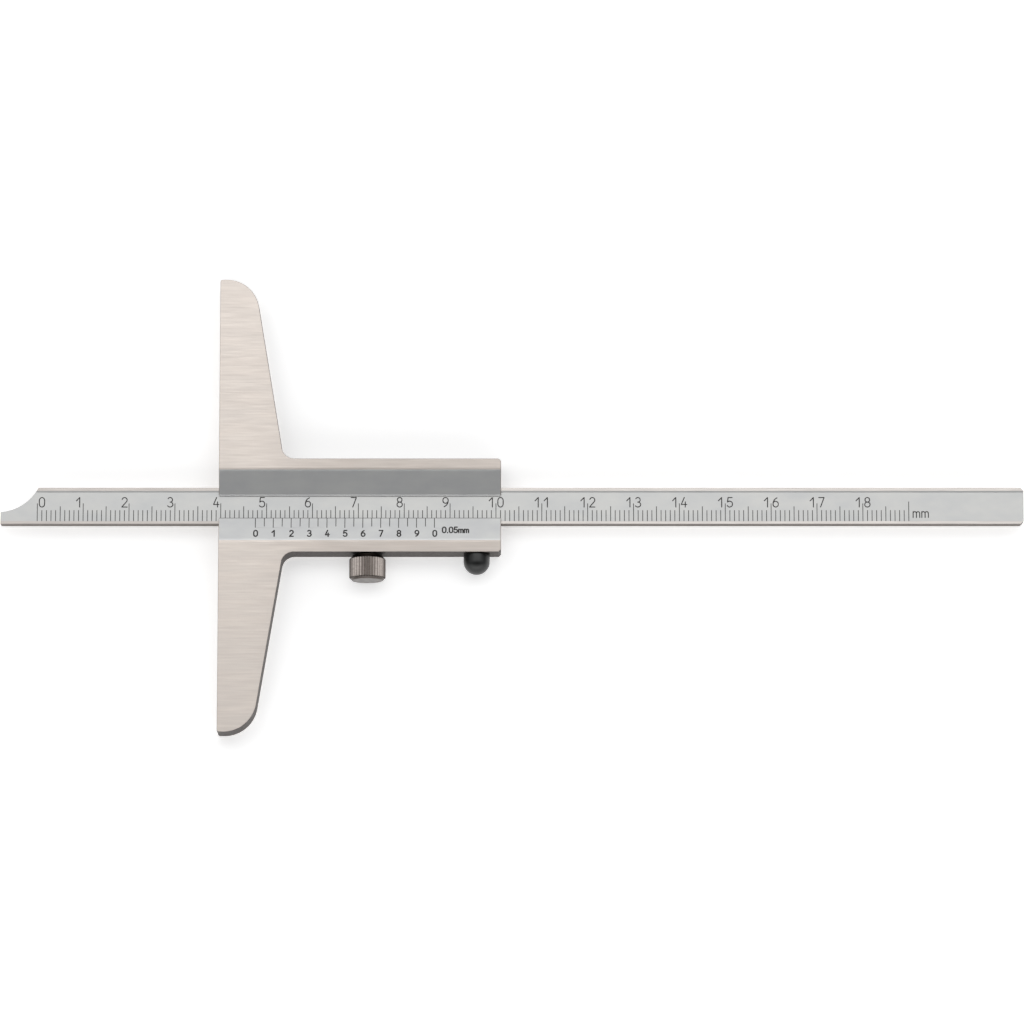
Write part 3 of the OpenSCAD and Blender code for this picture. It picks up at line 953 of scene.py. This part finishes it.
engraving, engraved = geometry_tree("Engraved strokes", {
    "Stroke width": ("NodeSocketFloat", 0.2 * MM),
    "Height": ("NodeSocketFloat", 0.01 * MM),
    "Step": ("NodeSocketFloat", 0.001 * MM),
    "Material": ("NodeSocketMaterial", None),
})
level = add_node(engraving, "GeometryNodeSetCurveNormal", [engraved["Curve"]], mode="Z_UP")
bar = add_node(
    engraving, "GeometryNodeCurvePrimitiveQuadrilateral", [engraved["Stroke width"], engraved["Height"]],
    mode="RECTANGLE",
)
swept = add_node(engraving, "GeometryNodeCurveToMesh", {
    "Curve": level, "Profile Curve": bar, "Fill Caps": True,
})
cap_radius = add_node(engraving, "ShaderNodeMath", [engraved["Stroke width"], 0.5], operation="MULTIPLY")
cap_height = add_node(
    engraving, "ShaderNodeMath", [engraved["Height"], engraved["Step"]], operation="SUBTRACT",
)
cap = add_node(engraving, "GeometryNodeMeshCylinder", {
    "Vertices": CAP_SIDES, "Radius": cap_radius, "Depth": cap_height,
})
caps = add_node(engraving, "GeometryNodeInstanceOnPoints", {
    "Points": engraved["Curve"], "Instance": cap,
    "Selection": add_node(engraving, "GeometryNodeCurveEndpointSelection"),
})
joined = add_node(engraving, "GeometryNodeJoinGeometry")
for part in (swept, caps):
    engraving.links.new(part.outputs[0], joined.inputs["Geometry"])
end_tree(engraving, joined, engraved["Material"])
print("engraving tree has", len(engraving.nodes), "nodes")

# %% [markdown]
# A text is laid out from left to right by the widths of its signs. All strokes of a face go into one
# curve, so the tree runs once for each face, and its result is laid on that face by one matrix.

# %% Helpers that write with strokes
STROKE_HEIGHT, STROKE_STEP = 0.016, 0.001


def sign_width(text, height):
    """Width of a text in mm between its outer strokes."""
    widths = [WIDTHS.get(sign, SIGN_W) for sign in text]
    return height * (sum(widths) + SIGN_GAP * (len(widths) - 1))


def written(text, left, foot, height):
    """Strokes of a text in mm, from its left edge and its foot."""
    strokes = []
    for sign in text:
        for order, stroke in enumerate(SIGNS[sign]):
            lift = order * STROKE_STEP
            strokes.append([(left + x * height, foot + y * height, lift) for x, y in stroke])
        left += height * (WIDTHS.get(sign, SIGN_W) + SIGN_GAP)
    return strokes


def engraved_mesh(name, strokes, width, placing):
    """Runs the engraving tree on strokes in mm and puts the result in its place."""
    mesh = run_tree(engraving, curve_from(strokes, name), {
        "Stroke width": width * MM, "Height": STROKE_HEIGHT * MM, "Step": STROKE_STEP * MM,
        "Material": lacquer,
    })
    mesh.transform(placing)
    return mesh


print("width of 10 at 2 mm:", round(sign_width("10", 2.0), 2), "mm")

# %% [markdown]
# Numbers on the beam. A number stands at the top of every tenth line: the first on the right of its
# line, the others on the left, and from ten on the line runs up between the two signs. The last line
# has only the unit beside it.

# %% Numbers on the beam
LINE_W = 0.16
LINES_PER_NUMBER = 10
NUMBER_H, NUMBER_FOOT, NUMBER_GAP, NUMBER_STROKE = 2.1, -0.255, 0.42, 0.22
UNIT_FOOT, UNIT_GAP = -2.56, 0.95

zero_x = scale_low.x + LINE_W / 2
last_x = scale_high.x - LINE_W / 2
strokes = written("0", zero_x + NUMBER_GAP, NUMBER_FOOT, NUMBER_H)
for number in range(1, round((last_x - zero_x) / LINES_PER_NUMBER)):
    line_x = zero_x + number * LINES_PER_NUMBER
    first, second = str(number)[0], str(number)[1:]
    strokes += written(first, line_x - NUMBER_GAP - sign_width(first, NUMBER_H), NUMBER_FOOT, NUMBER_H)
    strokes += written(second, line_x + NUMBER_GAP, NUMBER_FOOT, NUMBER_H)
strokes += written("mm", last_x + UNIT_GAP, UNIT_FOOT, NUMBER_H)
on_beam = Matrix.Translation((0, 0, scale_high.z * MM))
beam_numbers = engraved_mesh("beam_numbers", strokes, NUMBER_STROKE, on_beam)
finished_piece("beam_numbers", beam_numbers, "beam", "black_filling")
print("strokes on the beam:", len(strokes), "faces:", len(beam_numbers.polygons))

# %% [markdown]
# Numbers on the vernier. They stand on the slope of the lip, centred below every second line, and
# the reading step is written behind them. The lean of the slope is measured on its own face.

# %% Numbers on the vernier
VERNIER_H, VERNIER_TOP, VERNIER_STROKE, VERNIER_SHIFT = 1.42, 3.06, 0.30, 0.1
STEP_H, STEP_TOP, STEP_GAP = 1.34, 2.25, 1.69
NUMBERS = "01234567890"

slopes = [p for p in slide_mesh.polygons if p.material_index == 1 and p.normal.y > TILT]
slope = max(slopes, key=lambda polygon: polygon.area)
lip_edge = max((slide_mesh.vertices[i].co for i in slope.vertices), key=lambda corner: corner.y)
slope_lean = math.atan2(slope.normal.y, slope.normal.z)
on_slope = Matrix.Translation((0, lip_edge.y, lip_edge.z)) @ Matrix.Rotation(-slope_lean, 4, "X")

vernier_zero = vernier_low.x + LINE_W / 2
number_pitch = (vernier_high.x - vernier_low.x - LINE_W) / (len(NUMBERS) - 1)
strokes = []
for i, number in enumerate(NUMBERS):
    left = vernier_zero + i * number_pitch + VERNIER_SHIFT - sign_width(number, VERNIER_H) / 2
    strokes += written(number, left, -VERNIER_TOP - VERNIER_H, VERNIER_H)
strokes += written("0.05mm", vernier_high.x + STEP_GAP, -STEP_TOP - STEP_H, STEP_H)
vernier_numbers = engraved_mesh("vernier_numbers", strokes, VERNIER_STROKE, on_slope)
finished_piece("vernier_numbers", vernier_numbers, "slide", "black_filling")
print("lean of the slope:", round(math.degrees(slope_lean), 1), "degrees, strokes:", len(strokes))

# %% [markdown]
# A dark hairline runs along the sharp edge of the slope and parts the two scales to the eye. It is
# a painted shadow of the edge, drawn as one long stroke of the black lacquer by the same tree.
# That cause is a guess: on the real tool it may as well be the shadow of the edge.

# %% Line along the vernier's edge
EDGE_LINE = 0.09

line_y = -EDGE_LINE / 2
line_ends = (slide_low.x + SLIDE_BREAK, slide_high.x - SLIDE_BREAK)
edge_line = engraved_mesh("vernier_edge_painted_shadow", [[(x, line_y, 0) for x in line_ends]], EDGE_LINE, on_slope)
finished_piece("vernier_edge_painted_shadow", edge_line, "slide", "black_filling")
print("edge line from", line_ends[0], "to", line_ends[1], "mm")

# %% [markdown]
# Last, colours are shown as they are written, by the Standard view transform.

# %% View transform
bpy.context.scene.view_settings.view_transform = "Standard"
